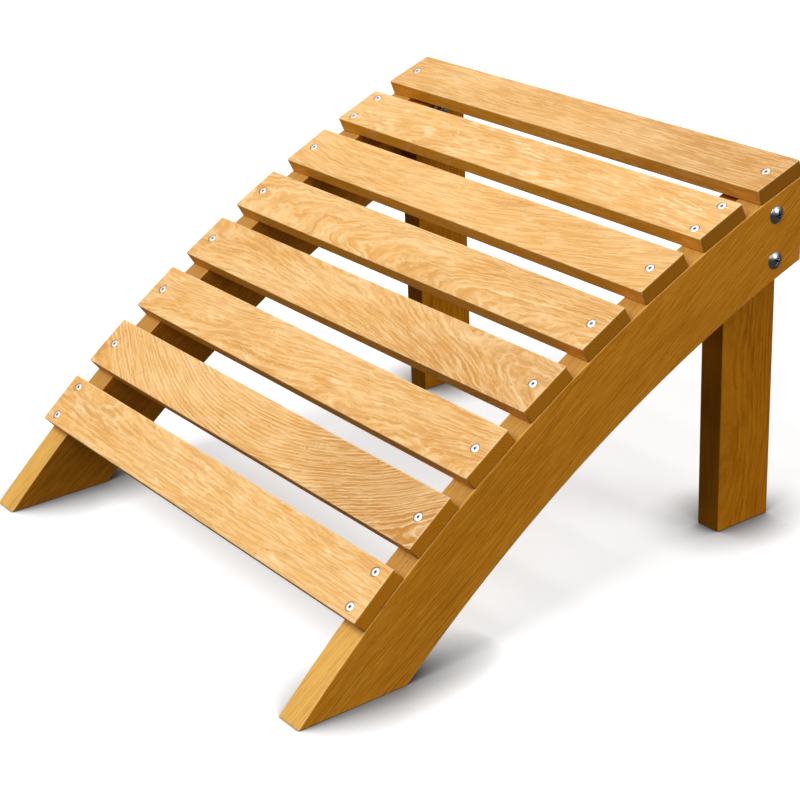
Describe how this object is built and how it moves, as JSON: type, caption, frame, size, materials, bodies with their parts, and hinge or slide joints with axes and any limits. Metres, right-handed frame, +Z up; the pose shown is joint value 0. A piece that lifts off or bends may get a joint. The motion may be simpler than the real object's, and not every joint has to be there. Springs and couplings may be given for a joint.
{
  "type": "slatted garden footstool",
  "caption": "Low wooden garden footstool: slats screwed across two curved side rails that slope down to the floor at the front, on two bolted rear legs.",
  "frame": {"origin": "on the floor, at the middle of the footprint: halfway between the side rails and halfway from the toes to the plumb back end", "axes": "+X to the right seen from the low front, -Y towards the low front, +Z up; the left and right sides mirror each other across X"},
  "size_m": [0.5062, 0.516, 0.3293],
  "materials": {
    "slat_wood": "planed softwood, clear honey-coloured satin oil",
    "rail_wood": "sawn and sanded softwood, clear honey-coloured satin oil",
    "leg_wood": "planed softwood, clear honey-coloured satin oil",
    "screw_metal": "bright zinc-plated steel",
    "bolt_metal": "dark zinc-plated steel",
    "washer_metal": "zinc-plated steel",
    "nut_metal": "zinc-plated steel"
  },
  "bodies": {
    "root": {"rail_left": "rail_wood", "rail_right": "rail_wood", "slat_1": "slat_wood", "slat_2": "slat_wood", "slat_3": "slat_wood", "slat_4": "slat_wood", "slat_5": "slat_wood", "slat_6": "slat_wood", "slat_7": "slat_wood", "slat_8": "slat_wood", "leg_left": "leg_wood", "leg_right": "leg_wood", "slat_screws_left": "screw_metal", "slat_screws_right": "screw_metal", "leg_bolts_left": "bolt_metal", "leg_bolts_right": "bolt_metal", "bolt_washers_left": "washer_metal", "bolt_washers_right": "washer_metal", "bolt_nuts_left": "nut_metal", "bolt_nuts_right": "nut_metal"}
  },
  "joints": []
}
